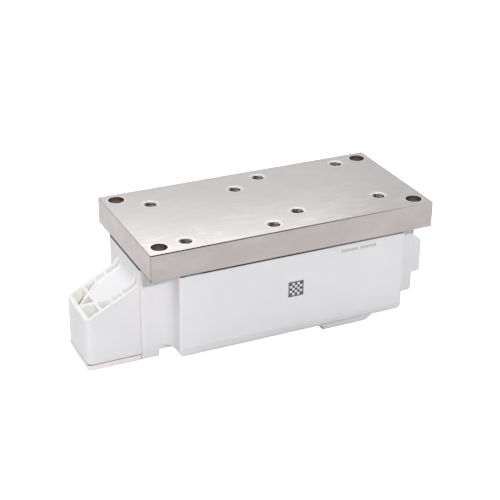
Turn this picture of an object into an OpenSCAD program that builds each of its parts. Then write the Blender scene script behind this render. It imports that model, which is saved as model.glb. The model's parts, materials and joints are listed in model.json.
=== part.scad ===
// Pressure-contact thyristor module, drawn standing on its power terminals.
// The origin is the centre of the mounting face of the base plate, which looks up (+Z).
// "Depth" is the distance below that face, so the rest of the module lies at negative Z.

/* [Base plate] */
// Length of the base plate
plate_l = 124; // [122:1:134]
// Width of the base plate
plate_w = 60; // [59:1:70]
// Thickness of the base plate
plate_t = 11.2; // [8:0.1:13]
// Corner radius of the base plate
plate_corner_r = 0.8; // [0.5:0.1:2]
// Broken edge of the base plate
plate_chamfer = 0.35; // [0.1:0.05:0.45]
// Distance from the edges of the plate to the centres of the mounting holes
mount_edge = 6; // [5:0.1:7]
// Diameter of the mounting holes
mount_hole_d = 6.5; // [5.5:0.1:7]

/* [Housing] */
// Free height between the control leads and the nut bosses
lead_room = 0.3; // [0.2:0.1:2]
// Distance from the long sides of the plate to the housing
side_inset = 0.7; // [0.3:0.1:1.2]
// Distance from the short sides of the plate to the housing
end_inset = 0.2; // [0:0.1:1]
// Free radius round each mounting screw
screw_room_r = 6; // [5.5:0.1:6.5]
// Thickness of the side walls
wall_t = 2.2; // [1.6:0.1:2.4]
// Thickness of the roof
roof_t = 2.5; // [2:0.1:3]
// Radius of the upright outer edges
edge_r = 1.2; // [0.6:0.1:1.6]
// Radius of the roof edges
roof_edge_r = 2; // [1:0.1:3]
// Height of the glued joint between the plate and the housing
joint_gap = 0.8; // [0.5:0.1:1.2]
// How far the sealant stays back from the outer wall
seal_setback = 1.2; // [0.3:0.1:1.4]

/* [Terminal tower] */
// Reach of the tower beyond the end of the housing
tower_reach = 22; // [21:0.5:26]
// Thickness of the tower walls
tower_wall_t = 1.5; // [1.2:0.1:1.8]
// Thickness of the ribs in the tower
tower_rib_t = 1.1; // [0.8:0.1:1.4]
// Height of the tower at its outer end
tower_h = 19.5; // [17:0.1:21]
// Slope of the rim in degrees
tower_rim_angle = 27; // [20:1:30]
// Radius of the sweep from the rim into the end wall
tower_sweep_r = 6; // [4:0.5:7]
// Thickness of the floor between the ribs over the nut
tower_floor_t = 2.1; // [1.5:0.1:4]
// Corner radius of the tower
tower_corner_r = 2.2; // [1.6:0.1:3]

/* [Power terminals] */
// Height of the contact faces over the roof
terminal_rise = 4.5; // [4:0.1:6]
// Thickness of the copper bars at the terminals
terminal_t = 2.8; // [2.2:0.1:3]
// Width of the contact pads
pad_w = 24.5; // [23:0.5:25]
// Distance from the tower to the hollows round the mounting screws
pad_margin = 1.9; // [1:0.1:3]
// How far the bars step in beside the contact pads
neck_step = 2.25; // [1.5:0.05:4]
// Core diameter of the terminal thread
thread_d = 8.5; // [8:0.1:9]
// Play of the hole in each contact pad round the thread
pad_hole_play = 2.5; // [1.5:0.1:3]
// Width of the captive nuts across their flats
nut_af = 17; // [16:0.5:18]
// Height of the captive nuts
nut_h = 8; // [6:0.5:8]

/* [Clamped stacks] */
// Place of the stacks, as a share of the housing's half length
stack_share = 0.517; // [0.51:0.001:0.53]
// Offset of each stack from the centre line, to opposite sides
stack_offset = 3.85; // [3:0.05:4]
// Thickness of the housing outside the screw heads
head_wall = 1.15; // [0.9:0.05:1.5]
// Diameter of the clamp screws
screw_d = 5; // [4.5:0.1:5.4]
// Depth of the screw ends below the mounting face
screw_end_depth = 1.6; // [1:0.1:4]
// Free distance round the ceramic discs
stack_gap = 0.25; // [0.2:0.05:1]
// Thickness of the ceramic discs
ceramic_t = 2; // [1:0.1:2.5]
// How far the lower contact plates stay back from the edge of the ceramic
lower_step = 1; // [0.6:0.1:1.2]
// Thickness of the contact plates
contact_t = 3; // [2:0.1:3.4]
// How far the semiconductor discs stay back from the edge of the ceramic
cell_step = 4; // [3.6:0.1:5.5]
// Thickness of the semiconductor discs
cell_t = 2.6; // [2:0.1:3]
// How far the upper contact plates stay back from the edge of the ceramic
upper_step = 6; // [5:0.1:8]
// Thickness of the pressure cup's floor
cup_t = 3; // [2:0.1:3.4]
// How far the disc springs stay back from the edge of the ceramic
spring_step = 7.5; // [7:0.1:10]
// Sheet thickness of the disc springs
spring_t = 1.4; // [1:0.1:1.6]
// Dish of each disc spring
spring_dish = 0.6; // [0.3:0.1:0.8]
// Thickness of the clamp plates
clamp_t = 6; // [5:0.1:6.4]

/* [Control terminals] */
// Reach of the tab carrier beyond the end of the housing
carrier_reach = 4; // [3:0.1:6]
// Pitch of the control tabs
tab_pitch = 6; // [5:0.1:7]
// Width of a control tab
tab_w = 2.8; // [2.4:0.1:3.2]
// Thickness of a control tab
tab_t = 0.8; // [0.5:0.1:1]
// Diameter of the control leads
lead_d = 1.6; // [1:0.1:1.8]

/* [Hidden] */

$fn = 48;
fit_gap = 0.1;
over = 1;
mount_x = plate_l / 2 - mount_edge;
mount_y = plate_w / 2 - mount_edge;
panel_x = mount_x - screw_room_r;
end_y = mount_y - screw_room_r;
body_x = plate_l / 2 - end_inset;
body_y = plate_w / 2 - side_inset;
inner_y = body_y - wall_t;
rim_depth = plate_t + joint_gap;

stack_x = stack_share * panel_x;
stack_span = norm([2 * stack_x, 2 * stack_offset]);
function arm_x(arm) = arm == 1 ? -stack_x : stack_x;
function arm_y(arm) = arm == 1 ? -stack_offset : stack_offset;

lower_depth = plate_t + ceramic_t;
cell_depth = lower_depth + contact_t;
upper_depth = cell_depth + cell_t;
cup_depth = upper_depth + contact_t;
spring_depth = cup_depth + cup_t;
spring_h = 2 * (spring_t + spring_dish);
clamp_depth = spring_depth + spring_h;
head_depth = clamp_depth + clamp_t;
head_h = 5;
head_r = 4.25;
head_gap = 0.25;
screw_x = panel_x - head_wall - head_r - stack_x;
screw_y = inner_y - head_gap - head_r - stack_offset;
ceramic_r = min(
    inner_y - stack_offset - stack_gap,
    norm([screw_x, screw_y]) - screw_d / 2 - stack_gap,
    stack_span / 2 - stack_gap
);
lower_plate_r = ceramic_r - lower_step;
cell_r = ceramic_r - cell_step;
upper_plate_r = ceramic_r - upper_step;
spring_r = ceramic_r - spring_step;
socket_af = 4;
socket_h = 2.6;
shank_r = screw_d / 2 - fit_gap / 2;
shank_play = 0.5;
tip_h = 1;
tip_in = 0.8;
tap_sink = 0.45;
clamp_ear_r = 4.2;
clamp_corner_r = 1;
clamp_l = 2 * (screw_x + clamp_corner_r);
clamp_w = 2 * (screw_y + clamp_corner_r);
head_room = 0.15;
clamp_bore_r = 6;
ring_t = 2.3;
ring_gap = 0.2;
cell_bevel = 0.6;
cup_wall = 1.5;
cup_play = 0.3;
spring_bore_r = 7;
gate_bore_r = 2.5;
gate_pin_wall = 0.4;
gate_pin_r = lead_d / 2 + gate_pin_wall;
gate_rise = 0.6;
gate_top_depth = head_depth + gate_rise;
lead_depth = gate_top_depth + lead_d;
lead_sides = 8;

terminal_y = pad_margin + pad_w / 2 - end_y;
boss_floor_t = 1;
bolt_tip_room = 2.5;
bolt_play = 1.35;
bolt_room_r = thread_d / 2 + bolt_play;
boss_depth = lead_depth + lead_d / 2 + lead_room;
pocket_depth = boss_depth + boss_floor_t + bolt_tip_room;
pad_depth = pocket_depth + nut_h + fit_gap;
terminal_depth = pad_depth + terminal_t;
body_depth = terminal_depth - terminal_rise;
roof_depth = body_depth - roof_t;
draft_h = 4.6;
draft_depth = body_depth - draft_h;
draft_in = 0.7;
panel_corner_r = 3;
tab_end_drop = 2;
end_roof_depth = roof_depth - tab_end_drop;
tower_x = -body_x - tower_reach;
tower_rim_depth = pad_depth - tower_h;
tower_floor_depth = pocket_depth - tower_floor_t;
neck_w = pad_w - 2 * neck_step;
tower_w = pad_w;
pad_corner_r = 1.5;
pad_hole_d = thread_d + pad_hole_play;
pad_overrun = 1.1;
pad_end_x = -body_x + pad_overrun;
terminal_1_x = (tower_x + pad_end_x) / 2;
terminal_xs = [terminal_1_x, -stack_x, stack_x];
leg_gap = 0.2;
leg_x = -body_x + wall_t + leg_gap;
riser_gap = 3.1;
riser_y = inner_y - riser_gap;
hex_angle = 30;
nut_r = nut_af / 2 / cos(hex_angle);
boss_t = 2.2;
boss_r = nut_r + boss_t;
seat_margin = 0.8;
hood_t = 1.4;
hood_run = 3.6;
hood_drop = 1.4;
hood_depth = terminal_depth - hood_drop;
platform_w = 7;
platform_drop = 1.5;
platform_depth = terminal_depth - platform_drop;
platform_lip = 2;
link_w = 20;
link_half_t = contact_t / 2;

carrier_lift = 9.7;
carrier_h = 17.8;
carrier_slope = 3;
carrier_bottom_depth = body_depth - carrier_lift;
carrier_top_depth = carrier_bottom_depth - carrier_h;
carrier_step = 1;
carrier_y = end_y - carrier_step;
tab_x = body_x + carrier_reach / 2;
tab_tip_lift = 2;
tab_tip_depth = body_depth - tab_tip_lift;
tab_h = 16;
tab_foot_depth = tab_tip_depth - tab_h;
tab_root = 2.2;
tab_root_x = body_x - wall_t - tab_root;
tab_ys = [for (i = [-1.5 : 1 : 1.5]) i * tab_pitch];
lug_w = 6;
lug_gap = 8.15;
lug_x = body_x - wall_t - lug_gap;
lug_lead_rise = 3;
lead_slope_run = 4;
lead_clear = 10.4;
lead_axis = [1, 2, 3];
lead_turn_x = tab_root_x - lead_slope_run;
lead_end_z = -tab_foot_depth - tab_t / 2;
lead_z = -lead_depth;

sweep_bite = 0.04;
tower_root = wall_t / 2;
tower_root_x = -body_x + tower_root;
tower_cell_w = 3;
tower_inner_y = tower_w / 2 - tower_wall_t - tower_cell_w;
tower_vee_x = tower_x + tower_reach / 2;
tower_apex_x = tower_x + tower_wall_t;
tower_ramp_drop = 0.7;
tower_ramp_start = 5;
tower_ramp_x = tower_apex_x + tower_ramp_start;
tower_rib_shares = [0.3, 0.52, 0.72];

// A flat outline, given thickness between two depths
module layer(top, bottom) {
    translate([0, 0, -bottom])
        linear_extrude(bottom - top)
            children();
}

// An outline in X and Z, given thickness along Y about the plane y
module along_y(width, y = 0) {
    translate([0, y + width / 2, 0])
        rotate([90, 0, 0])
            linear_extrude(width)
                children();
}

// An outline in Y and Z, given thickness along X about the plane x
module along_x(length, x = 0) {
    translate([x - length / 2, 0, 0])
        rotate([90, 0, 90])
            linear_extrude(length)
                children();
}

// A rectangle between two corners in an upright outline, given by depths
module upright(a, b, top, bottom) {
    translate([min(a, b), -bottom])
        square([abs(b - a), bottom - top]);
}

module rounded_rect(l, w, r) {
    square([l - 2 * r, w], center = true);
    square([l, w - 2 * r], center = true);
    for (sx = [-1, 1], sy = [-1, 1])
        translate([sx * (l / 2 - r), sy * (w / 2 - r)])
            circle(r);
}

// A rectangle hanging from a depth, with its two lower corners rounded
module round_bottom(w, top, bottom, r) {
    upright(-w / 2, w / 2, top, bottom - r);
    upright(-w / 2 + r, w / 2 - r, top, bottom);
    for (s = [-1, 1])
        translate([s * (w / 2 - r), -bottom + r])
            circle(r);
}

module at_mounts() {
    for (sx = [-1, 1], sy = [-1, 1])
        translate([sx * mount_x, sy * mount_y])
            children();
}

module at_arm(arm) {
    translate([arm_x(arm), arm_y(arm)])
        children();
}

module at_clamp_screws(arm) {
    at_arm(arm)
        for (sx = [-1, 1], sy = [-1, 1])
            translate([sx * screw_x, sy * screw_y])
                children();
}

module at_terminals() {
    for (x = terminal_xs)
        translate([x, terminal_y])
            children();
}

// Base plate

module broken_rect(w, h, c) {
    polygon([
        [-w / 2, -c], [-w / 2 + c, 0], [w / 2 - c, 0], [w / 2, -c],
        [w / 2, c - h], [w / 2 - c, -h], [c - w / 2, -h], [-w / 2, c - h]
    ]);
}

module base_plate() {
    color("lightgray")
        difference() {
            intersection() {
                layer(0, plate_t)
                    rounded_rect(plate_l, plate_w, plate_corner_r);
                along_x(plate_l)
                    broken_rect(plate_w, plate_t, plate_chamfer);
                along_y(plate_w)
                    broken_rect(plate_l, plate_t, plate_chamfer);
            }
            layer(-over, plate_t + over)
                at_mounts()
                    circle(d = mount_hole_d);
            for (arm = [1, 2])
                at_clamp_screws(arm)
                    tapped_hole();
        }
}

module tapped_hole() {
    layer(-over, plate_t + over)
        circle(d = screw_d);
    translate([0, 0, -tap_sink])
        cylinder(h = 2 * tap_sink, r1 = screw_d / 2, r2 = screw_d / 2 + 2 * tap_sink);
}

// Housing

// Plan of the housing: long block, end block and a hollow round each mounting screw
module body_plan(inset) {
    room_r = screw_room_r + inset;
    rounded_rect(2 * (panel_x - inset), 2 * (body_y - inset), edge_r);
    rounded_rect(2 * (body_x - inset), 2 * (end_y - inset), edge_r);
    for (sx = [-1, 1], sy = [-1, 1])
        scale([sx, sy])
            difference() {
                translate([panel_x - inset, end_y - inset])
                    square(room_r);
                translate([mount_x, mount_y])
                    circle(room_r);
            }
}

module seal_bead() {
    color("slategray")
        layer(plate_t, rim_depth)
            difference() {
                body_plan(seal_setback);
                body_plan(wall_t);
            }
}

// Cross-section of the long block, drawn in under a draft line near the roof
module panel_section() {
    foot_y = body_y - draft_in;
    upright(-body_y, body_y, rim_depth, draft_depth);
    polygon([
        [-body_y, -draft_depth], [body_y, -draft_depth],
        [foot_y, roof_edge_r - body_depth], [-foot_y, roof_edge_r - body_depth]
    ]);
    round_bottom(2 * foot_y, draft_depth, body_depth, roof_edge_r);
}

module body_block() {
    intersection() {
        layer(rim_depth, body_depth)
            body_plan(0);
        along_x(2 * body_x)
            panel_section();
        union() {
            along_y(2 * body_y)
                round_bottom(2 * panel_x, rim_depth, body_depth, panel_corner_r);
            along_y(2 * mount_y)
                round_bottom(2 * body_x, rim_depth, body_depth - tab_end_drop, roof_edge_r);
            along_y(2 * end_y)
                upright(-body_x, 0, rim_depth, body_depth);
        }
    }
}

module body_cavity() {
    layer(rim_depth - over, end_roof_depth)
        body_plan(wall_t);
    layer(rim_depth - over, roof_depth)
        rounded_rect(2 * (panel_x - wall_t), 2 * (body_y - wall_t), edge_r);
    for (arm = [1, 2])
        layer(rim_depth - over, head_depth + head_h + head_room)
            at_clamp_screws(arm)
                circle(head_r + head_room);
}

// Side view of the tower rim: a slope that sweeps up into the end wall
module rim_profile(drop = 0) {
    rise = tan(tower_rim_angle);
    low = -tower_rim_depth - drop;
    high = low + tower_reach * rise;
    sweep_z = high - tower_sweep_r * rise + tower_sweep_r / cos(tower_rim_angle);
    centre = [-body_x - tower_sweep_r, sweep_z];
    touch = centre + tower_sweep_r * [sin(tower_rim_angle), -cos(tower_rim_angle)];
    polygon([
        [tower_x - over, -pad_depth - over], [tower_x - over, low - over * rise], [-body_x, high],
        [tower_root_x + over, high], [tower_root_x + over, -pad_depth - over]
    ]);
    difference() {
        polygon([
            touch, [-body_x, high], [tower_root_x + over, high],
            [tower_root_x + over, sweep_z], centre
        ]);
        translate(centre + [sweep_bite, -sweep_bite])
            circle(tower_sweep_r);
    }
}

module tower_plan(inset = 0) {
    length = tower_reach + tower_root;
    translate([tower_x + length / 2, terminal_y])
        intersection() {
            translate([tower_corner_r, 0])
                rounded_rect(
                    length + 2 * tower_corner_r - 2 * inset,
                    tower_w - 2 * inset,
                    max(tower_corner_r - inset, fit_gap)
                );
            square([length, tower_w], center = true);
        }
}

function vee_y(x) = tower_inner_y * min(1, (x - tower_apex_x) / (tower_vee_x - tower_apex_x));

module rib_line(a, b) {
    span = b - a;
    translate(a)
        rotate(atan2(span[1], span[0]))
            translate([-tower_rib_t / 2, -tower_rib_t / 2])
                square([norm(span) + tower_rib_t, tower_rib_t]);
}

// Two ribs that open from the outer wall and run on to the end wall, with cross ribs
module tower_ribs() {
    side_y = tower_w / 2 - tower_wall_t / 2;
    translate([0, terminal_y])
        for (s = [-1, 1]) {
            rib_line([tower_apex_x, 0], [tower_vee_x, s * tower_inner_y]);
            rib_line([tower_vee_x, s * tower_inner_y], [-body_x, s * tower_inner_y]);
            for (share = tower_rib_shares)
                let (x = tower_x + share * tower_reach)
                    rib_line([x, s * vee_y(x)], [x, s * side_y]);
        }
}

// Plan of the smooth ramp between the two long ribs
module ramp_plan() {
    translate([0, terminal_y])
        polygon([
            [tower_ramp_x, -vee_y(tower_ramp_x)], [tower_vee_x, -tower_inner_y],
            [tower_root_x, -tower_inner_y], [tower_root_x, tower_inner_y],
            [tower_vee_x, tower_inner_y], [tower_ramp_x, vee_y(tower_ramp_x)]
        ]);
}

module tower() {
    intersection() {
        union() {
            layer(rim_depth, pad_depth) {
                difference() {
                    tower_plan();
                    tower_plan(tower_wall_t);
                }
                tower_ribs();
            }
            layer(tower_floor_depth, pad_depth)
                tower_plan();
        }
        along_y(tower_w + 2 * over, terminal_y)
            rim_profile();
    }
    intersection() {
        layer(rim_depth, pad_depth)
            ramp_plan();
        along_y(tower_w, terminal_y)
            rim_profile(tower_ramp_drop);
    }
}

// Raised wall where the bar of the tower terminal enters the housing
module end_platform() {
    layer(roof_depth, platform_depth)
        translate([-body_x, -end_y])
            square([platform_w, end_y + terminal_y + pad_w / 2 + platform_lip]);
}

module seat_plan(margin) {
    translate([0, terminal_y])
        square([pad_w + 2 * margin, pad_w + 2 * margin], center = true);
}

// Seats of the two terminals on the roof, and the hood at each riser
module terminal_seats() {
    for (side = [-1, 1]) {
        layer(roof_depth, pad_depth)
            translate([-side * stack_x, 0]) {
                seat_plan(seat_margin);
                translate([0, side * riser_y / 2])
                    square([neck_w + 2 * seat_margin, riser_y], center = true);
            }
        translate([-side * stack_x, 0, 0])
            along_y(hood_t, side * (riser_y + fit_gap + hood_t / 2))
                hood_profile();
    }
    for (x = [-stack_x, stack_x])
        layer(boss_depth, roof_depth + over)
            translate([x, terminal_y])
                circle(boss_r);
}

// A low wall with sloping ends
module hood_profile() {
    half = neck_w / 2 + hood_run;
    polygon([
        [-half, -roof_depth], [half, -roof_depth], [half, -body_depth],
        [neck_w / 2, -hood_depth], [-neck_w / 2, -hood_depth], [-half, -body_depth]
    ]);
}

module tab_carrier() {
    along_y(2 * carrier_y)
        polygon([
            [body_x - over, -carrier_top_depth], [body_x, -carrier_top_depth],
            [body_x + carrier_reach, -carrier_top_depth - carrier_slope],
            [body_x + carrier_reach, -carrier_bottom_depth], [body_x - over, -carrier_bottom_depth]
        ]);
}

module nut_pocket() {
    layer(pocket_depth, pad_depth + over)
        circle(r = nut_r + fit_gap, $fn = 6);
    layer(pocket_depth - bolt_tip_room, pad_depth)
        circle(bolt_room_r);
}

// Slots where the bars pass the roof
module bar_slots() {
    slot_w = neck_w + 2 * fit_gap;
    slot_t = terminal_t + 2 * fit_gap;
    layer(end_roof_depth - over, terminal_depth)
        translate([leg_x - fit_gap, terminal_y - slot_w / 2])
            square([slot_t, slot_w]);
    layer(pad_depth, terminal_depth)
        translate([-body_x - over, terminal_y - slot_w / 2])
            square([leg_x + slot_t + body_x + over - fit_gap, slot_w]);
    layer(pad_depth, terminal_depth)
        translate([-body_x - over, terminal_y - pad_w / 2 - fit_gap])
            square([pad_end_x + body_x + over + fit_gap, pad_w + 2 * fit_gap]);
    for (side = [-1, 1])
        layer(roof_depth - over, terminal_depth)
            translate([-side * stack_x, side * (riser_y - terminal_t / 2)])
                square([slot_w, slot_t], center = true);
}

module tab_slots() {
    for (y = tab_ys)
        along_y(tab_w, y)
            tab_profile();
}

module housing() {
    color("white")
        difference() {
            union() {
                difference() {
                    body_block();
                    body_cavity();
                }
                tower();
                end_platform();
                terminal_seats();
                tab_carrier();
            }
            bar_slots();
            at_terminals()
                nut_pocket();
            tab_slots();
        }
}

// Power terminals

module pad_hole() {
    translate([0, 0, -terminal_depth - over])
        cylinder(h = terminal_t + 2 * over, d = pad_hole_d);
}

module gate_hole(arm) {
    at_arm(arm)
        layer(upper_depth - over, cup_depth + over)
            circle(gate_bore_r);
}

// Bar of the tower terminal: under the first disc, then over the second
module common_bar() {
    color("sienna")
        difference() {
            union() {
                layer(pad_depth, terminal_depth)
                    translate([terminal_1_x, terminal_y])
                        rounded_rect(pad_end_x - tower_x, pad_w, pad_corner_r);
                along_y(neck_w, terminal_y) {
                    upright(terminal_1_x, leg_x + terminal_t, pad_depth, terminal_depth);
                    upright(leg_x, leg_x + terminal_t, lower_depth, terminal_depth);
                    upright(leg_x, -stack_x, lower_depth, cell_depth);
                }
                at_arm(1)
                    layer(lower_depth, cell_depth)
                        circle(lower_plate_r);
                along_y(link_w) {
                    upright(-stack_x, link_half_t, lower_depth, cell_depth);
                    upright(-link_half_t, link_half_t, lower_depth, cup_depth);
                    upright(-link_half_t, stack_x, upper_depth, cup_depth);
                }
                at_arm(2)
                    layer(upper_depth, cup_depth)
                        circle(upper_plate_r);
                along_y(lug_w, arm_y(2))
                    upright(stack_x, lug_x, upper_depth, cup_depth);
            }
            translate([terminal_1_x, terminal_y, 0])
                pad_hole();
            gate_hole(2);
        }
}

// A riser with its foot on one contact plate and its pad on the roof
module riser_bar(arm, side, plate_r, top) {
    along_x(neck_w, arm_x(arm)) {
        upright(arm_y(arm), side * riser_y, top, top + contact_t);
        upright(side * (riser_y - terminal_t), side * riser_y, top, terminal_depth);
        upright(terminal_y, side * riser_y, pad_depth, terminal_depth);
    }
    at_arm(arm)
        layer(top, top + contact_t)
            circle(plate_r);
    layer(pad_depth, terminal_depth)
        translate([arm_x(arm), terminal_y])
            rounded_rect(pad_w, pad_w, pad_corner_r);
}

module cathode_bar() {
    color("sienna")
        difference() {
            riser_bar(1, 1, upper_plate_r, upper_depth);
            translate([arm_x(1), terminal_y, 0])
                pad_hole();
            gate_hole(1);
        }
}

module anode_bar() {
    color("sienna")
        difference() {
            riser_bar(2, -1, lower_plate_r, lower_depth);
            translate([arm_x(2), terminal_y, 0])
                pad_hole();
        }
}

module terminal_nuts() {
    color("silver")
        layer(pad_depth - nut_h, pad_depth)
            at_terminals()
                difference() {
                    circle(r = nut_r, $fn = 6);
                    circle(d = thread_d);
                }
}

// Clamped stacks

module ceramic_disc(arm) {
    color("ivory")
        at_arm(arm)
            layer(plate_t, lower_depth)
                circle(ceramic_r);
}

module thyristor_cell(arm) {
    color("dimgray")
        translate([arm_x(arm), arm_y(arm), -upper_depth])
            rotate_extrude()
                polygon([
                    [0, 0], [cell_r - cell_bevel, 0], [cell_r, cell_bevel],
                    [cell_r, cell_t], [0, cell_t]
                ]);
}

module centring_ring(arm) {
    inner = cell_r + ring_gap;
    color("khaki")
        at_arm(arm)
            layer(cell_depth, upper_depth)
                difference() {
                    circle(inner + ring_t);
                    circle(inner);
                }
}

// Insulating cup that carries the springs
module pressure_cup(arm) {
    rim_r = spring_r + cup_play;
    color("burlywood")
        translate([arm_x(arm), arm_y(arm), -cup_depth])
            rotate_extrude()
                polygon([
                    [gate_bore_r, 0], [rim_r + cup_wall, 0],
                    [rim_r + cup_wall, -cup_t - spring_h / 2], [rim_r, -cup_t - spring_h / 2],
                    [rim_r, -cup_t], [gate_bore_r, -cup_t]
                ]);
}

// Two dished washers, rim to rim
module spring_pair(arm) {
    color("slategray")
        translate([arm_x(arm), arm_y(arm), -spring_depth - spring_h / 2])
            for (flip = [0, 1])
                mirror([0, 0, flip])
                    rotate_extrude()
                        polygon([
                            [spring_bore_r, spring_dish], [spring_r, 0],
                            [spring_r, spring_t], [spring_bore_r, spring_t + spring_dish]
                        ]);
}

// Square plate with an ear round each screw
module clamp_plate(arm) {
    color("darkgray")
        layer(clamp_depth, head_depth)
            difference() {
                union() {
                    at_arm(arm)
                        rounded_rect(clamp_l, clamp_w, clamp_corner_r);
                    at_clamp_screws(arm)
                        circle(clamp_ear_r);
                }
                at_arm(arm)
                    circle(clamp_bore_r);
                at_clamp_screws(arm)
                    circle(d = screw_d + shank_play);
            }
}

module clamp_screw() {
    difference() {
        union() {
            layer(head_depth, head_depth + head_h)
                circle(head_r);
            layer(screw_end_depth + tip_h, head_depth)
                circle(shank_r);
            translate([0, 0, -screw_end_depth - tip_h])
                cylinder(h = tip_h, r1 = shank_r, r2 = shank_r - tip_in);
        }
        layer(head_depth + head_h - socket_h, head_depth + head_h + over)
            circle(r = socket_af / 2 / cos(hex_angle), $fn = 6);
    }
}

module clamp_screws() {
    color("gray")
        for (arm = [1, 2])
            at_clamp_screws(arm)
                clamp_screw();
}

// Control terminals

module gate_pin(arm) {
    color("goldenrod")
        at_arm(arm)
            layer(upper_depth, gate_top_depth)
                circle(gate_pin_r);
}

// Side view of a control tab: a foot through the end wall and an upright blade
module tab_profile() {
    upright(tab_root_x, tab_x + tab_t / 2, tab_foot_depth, tab_foot_depth + tab_t);
    upright(tab_x - tab_t / 2, tab_x + tab_t / 2, tab_foot_depth, tab_tip_depth);
}

module control_tabs() {
    color("gainsboro")
        for (y = tab_ys)
            along_y(tab_w, y)
                tab_profile();
}

// A lead swept along a list of points, as rings that turn with the route
function unit(v) = v / norm(v);
function heading(p, i) = unit(p[i + 1] - p[i]);
function tangent(p, i) =
    i == 0 ? heading(p, 0)
    : i == len(p) - 1 ? heading(p, i - 1)
    : unit(heading(p, i - 1) + heading(p, i));
function across(v, t) = unit(v - (v * t) * t);
function ring_axis(p, i) = across(i == 0 ? lead_axis : ring_axis(p, i - 1), tangent(p, i));

module lead(points) {
    last = len(points) - 1;
    rings = [
        for (i = [0 : last])
            let (u = ring_axis(points, i), v = cross(tangent(points, i), u))
                for (k = [0 : lead_sides - 1])
                    let (turn = 360 * k / lead_sides)
                        points[i] + lead_d / 2 * (cos(turn) * u + sin(turn) * v)
    ];
    walls = [
        for (i = [0 : last - 1], k = [0 : lead_sides - 1])
            let (
                a = i * lead_sides + k,
                b = i * lead_sides + (k + 1) % lead_sides,
                c = b + lead_sides,
                d = a + lead_sides
            )
                each [[a, d, c], [a, c, b]]
    ];
    start_cap = [for (k = [0 : lead_sides - 1]) k];
    end_cap = [for (k = [lead_sides - 1 : -1 : 0]) last * lead_sides + k];
    polyhedron(points = rings, faces = concat([start_cap], walls, [end_cap]));
}

// The last stretch of a lead, from its level over the stacks to its tab
function lead_end(tab, z) = [
    [stack_x + screw_x, arm_y(2) + (2 * tab - 3) * lead_d, z],
    [lead_turn_x, tab_ys[tab], lead_end_z],
    [tab_root_x, tab_ys[tab], lead_end_z]
];

function gate_start(arm) = [
    [arm_x(arm), arm_y(arm), -gate_top_depth],
    [arm_x(arm), arm_y(arm), lead_z]
];

module gate_lead_1() {
    color("white")
        lead(concat(gate_start(1), [[0, 0, lead_z]], lead_end(0, lead_z)));
}

module gate_lead_2() {
    color("white")
        lead(concat(gate_start(2), lead_end(2, lead_z)));
}

// From the riser of the first disc's upper bar, between the clamp screws
module cathode_lead_1() {
    start = [arm_x(1) + neck_w / 2, riser_y - terminal_t / 2, lead_z];
    color("red")
        lead(concat(
            [start, start + [2 * lead_d, 0, 0]],
            [[screw_x - stack_x, screw_y + lead_d, lead_z], [0, screw_y, lead_z]],
            [[stack_x - screw_x, arm_y(2) + screw_y - lead_clear, lead_z]],
            lead_end(3, lead_z)
        ));
}

// From the lug of the second disc's upper bar
module cathode_lead_2() {
    lug_end = lug_x - lead_d;
    color("red")
        lead([
            [lug_end, arm_y(2), -cup_depth],
            [lug_end, arm_y(2), -cup_depth - lug_lead_rise],
            [lead_turn_x, tab_ys[1], lead_end_z],
            [tab_root_x, tab_ys[1], lead_end_z]
        ]);
}

base_plate();
housing();
seal_bead();
common_bar();
cathode_bar();
anode_bar();
terminal_nuts();
clamp_screws();
control_tabs();
ceramic_disc(1);  // ceramic_disc_1
ceramic_disc(2);  // ceramic_disc_2
thyristor_cell(1);  // thyristor_cell_1
thyristor_cell(2);  // thyristor_cell_2
centring_ring(1);  // centring_ring_1
centring_ring(2);  // centring_ring_2
pressure_cup(1);  // pressure_cup_1
pressure_cup(2);  // pressure_cup_2
spring_pair(1);  // spring_pair_1
spring_pair(2);  // spring_pair_2
clamp_plate(1);  // clamp_plate_1
clamp_plate(2);  // clamp_plate_2
gate_pin(1);  // gate_pin_1
gate_pin(2);  // gate_pin_2
gate_lead_1();
gate_lead_2();
cathode_lead_1();
cathode_lead_2();
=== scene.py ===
import json
import math

import bpy
from mathutils import Euler, Matrix, Vector


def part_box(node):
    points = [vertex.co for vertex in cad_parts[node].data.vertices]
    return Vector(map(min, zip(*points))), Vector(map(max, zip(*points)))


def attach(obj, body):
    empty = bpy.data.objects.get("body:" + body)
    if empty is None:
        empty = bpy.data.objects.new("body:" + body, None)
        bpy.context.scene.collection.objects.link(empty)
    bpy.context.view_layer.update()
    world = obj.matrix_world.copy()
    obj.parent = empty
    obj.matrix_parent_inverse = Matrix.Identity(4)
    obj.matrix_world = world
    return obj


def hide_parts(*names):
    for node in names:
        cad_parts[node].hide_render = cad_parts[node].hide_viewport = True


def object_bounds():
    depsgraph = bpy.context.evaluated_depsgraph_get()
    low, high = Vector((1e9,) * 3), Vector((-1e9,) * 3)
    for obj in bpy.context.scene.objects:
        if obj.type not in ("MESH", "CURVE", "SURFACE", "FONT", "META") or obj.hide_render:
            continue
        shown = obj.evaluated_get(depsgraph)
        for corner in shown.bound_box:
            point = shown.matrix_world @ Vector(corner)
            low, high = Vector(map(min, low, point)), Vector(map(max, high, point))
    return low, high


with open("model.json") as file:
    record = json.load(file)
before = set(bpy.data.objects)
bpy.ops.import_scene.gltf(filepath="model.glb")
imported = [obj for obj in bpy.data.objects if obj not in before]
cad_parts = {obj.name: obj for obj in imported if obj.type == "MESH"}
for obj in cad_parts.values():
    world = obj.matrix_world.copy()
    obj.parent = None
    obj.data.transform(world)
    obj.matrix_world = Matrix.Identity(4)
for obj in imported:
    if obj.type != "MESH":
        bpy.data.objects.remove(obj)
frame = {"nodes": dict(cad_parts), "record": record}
CAD_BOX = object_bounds()

bl_info = {
    "name": "Thyristor module",
    "version": (1, 0, 0),
    "blender": (4, 5, 0),
    "location": "3D View > Sidebar > Module",
    "description": "Dresses the solids of a pressure-contact thyristor module",
    "category": "Object",
}

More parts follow.
